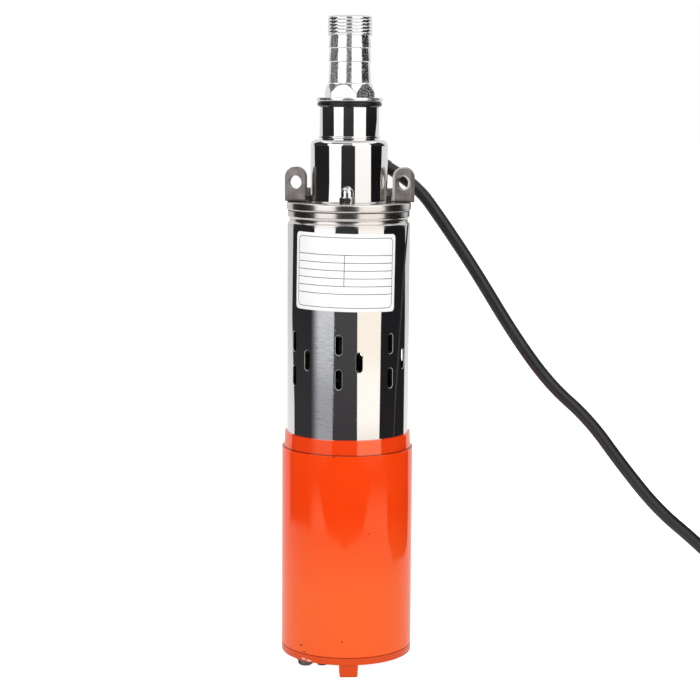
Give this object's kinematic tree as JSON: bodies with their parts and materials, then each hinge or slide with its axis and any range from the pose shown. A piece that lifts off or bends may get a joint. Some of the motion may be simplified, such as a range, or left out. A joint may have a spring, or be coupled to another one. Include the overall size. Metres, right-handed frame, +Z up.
{
  "type": "submersible screw pump",
  "caption": "Slim upright well pump: painted motor barrel, slotted steel suction tube, stepped head with lifting lugs, barbed and threaded hose tail, and a rubber supply cable.",
  "frame": {"origin": "on the pump's axis at the height of the soles of its feet", "axes": "+Z up along the pump's axis towards the outlet, -Y out of the front that carries the rating plate, +X to the side where the cable leaves"},
  "size_m": [0.4416, 0.0992, 0.394],
  "materials": {
    "painted_shell": "gloss enamel over a die-cast and drawn shell",
    "polished_steel": "polished stainless steel",
    "turned_steel": "turned stainless steel",
    "brushed_plate": "brushed stainless plate",
    "black_steel": "black oxide",
    "black_rubber": "satin moulded rubber",
    "stator_rubber": "bonded nitrile rubber",
    "carbon": "pressed carbon",
    "ceramic": "lapped ceramic",
    "ferrite": "sintered ferrite",
    "lamination": "varnished laminations",
    "copper": "enamelled copper",
    "holder_plastic": "phenolic moulding",
    "bearing_steel": "ground bearing steel",
    "fibre": "pressed fibre gasket",
    "red_lead": "insulated core with a tinned end",
    "black_lead": "insulated core with a tinned end"
  },
  "bodies": {
    "pump": {"bottom_cover": "painted_shell", "motor_housing": "painted_shell", "top_cover": "painted_shell", "oil_plug": "turned_steel", "through_bolts": "black_steel", "lower_o_ring": "black_rubber", "upper_o_ring": "black_rubber", "outlet_o_ring": "black_rubber", "magnet_right": "ferrite", "magnet_left": "ferrite", "lower_bearing_outer_ring": "bearing_steel", "upper_bearing_outer_ring": "bearing_steel", "brush_holder": "holder_plastic", "brush_spring_right": "bearing_steel", "brush_spring_left": "bearing_steel", "seal_seat": "ceramic", "stator_rubber": "stator_rubber", "stator_sleeve": "turned_steel", "stator_seat": "turned_steel", "stator_gasket": "black_rubber", "rod_spacers": "turned_steel", "tie_rods": "turned_steel", "acorn_nut": "polished_steel", "lug_nuts": "polished_steel", "lug_left": "brushed_plate", "lug_right": "brushed_plate", "pump_tube": "polished_steel", "discharge_head": "polished_steel", "head_gasket": "fibre", "outlet_fitting": "polished_steel", "gland_body": "turned_steel", "gland_nut": "turned_steel", "cable_boot": "black_rubber", "supply_cable": "black_rubber", "cable_coil": "black_rubber", "lead_red": "red_lead", "lead_black": "black_lead", "inner_cable": "black_rubber", "motor_cable_seal": "black_rubber"},
    "drive": {"motor_shaft": "turned_steel", "armature_core": "lamination", "armature_windings": "copper", "commutator": "copper", "lower_bearing_inner_ring": "bearing_steel", "upper_bearing_inner_ring": "bearing_steel", "seal_ring": "carbon", "sand_slinger": "black_rubber", "drive_yoke": "turned_steel", "yoke_pin": "bearing_steel"},
    "lower_balls": {"lower_bearing_balls": "bearing_steel", "lower_bearing_cage": "bearing_steel"},
    "upper_balls": {"upper_bearing_balls": "bearing_steel", "upper_bearing_cage": "bearing_steel"},
    "orbit": {"rod_boot": "black_rubber"},
    "rod": {"connecting_rod": "turned_steel"},
    "screw": {"screw_rotor": "polished_steel", "rotor_pin": "bearing_steel"},
    "right_brush": {"brush_right": "carbon"},
    "left_brush": {"brush_left": "carbon"}
  },
  "joints": [
    {"name": "motor_spin", "type": "hinge", "parent": "pump", "child": "drive", "pos_m": [0, 0, 0.1702], "axis": [0, 0, 1], "continuous": true},
    {"name": "lower_balls_roll", "type": "hinge", "parent": "pump", "child": "lower_balls", "pos_m": [0, 0, 0.0175], "axis": [0, 0, 1], "continuous": true},
    {"name": "upper_balls_roll", "type": "hinge", "parent": "pump", "child": "upper_balls", "pos_m": [0, 0, 0.1312], "axis": [0, 0, 1], "continuous": true},
    {"name": "rotor_orbit", "type": "hinge", "parent": "pump", "child": "orbit", "pos_m": [0, 0, 0.1702], "axis": [0, 0, 1], "continuous": true},
    {"name": "rod_spin", "type": "hinge", "parent": "orbit", "child": "rod", "pos_m": [0, 0, 0.1702], "axis": [0.0733, 0, 0.9973], "continuous": true},
    {"name": "rotor_spin", "type": "hinge", "parent": "orbit", "child": "screw", "pos_m": [0.0025, 0, 0.2042], "axis": [0, 0, 1], "continuous": true},
    {"name": "right_brush_slide", "type": "slide", "parent": "pump", "child": "right_brush", "axis": [0.9063, -0.4226, 0], "range_m": [0, 0.003], "stiffness_N_per_m": 300, "springref_m": -0.004, "deforming": ["brush_spring_right"]},
    {"name": "left_brush_slide", "type": "slide", "parent": "pump", "child": "left_brush", "axis": [-0.9063, 0.4226, 0], "range_m": [0, 0.003], "stiffness_N_per_m": 300, "springref_m": -0.004, "deforming": ["brush_spring_left"]}
  ],
  "couplings": [
    {"joint": "lower_balls_roll", "follows": "motor_spin", "ratio": 0.385},
    {"joint": "upper_balls_roll", "follows": "motor_spin", "ratio": 0.3955},
    {"joint": "rotor_orbit", "follows": "motor_spin", "ratio": -1},
    {"joint": "rod_spin", "follows": "motor_spin", "ratio": 2},
    {"joint": "rotor_spin", "follows": "motor_spin", "ratio": 2}
  ]
}
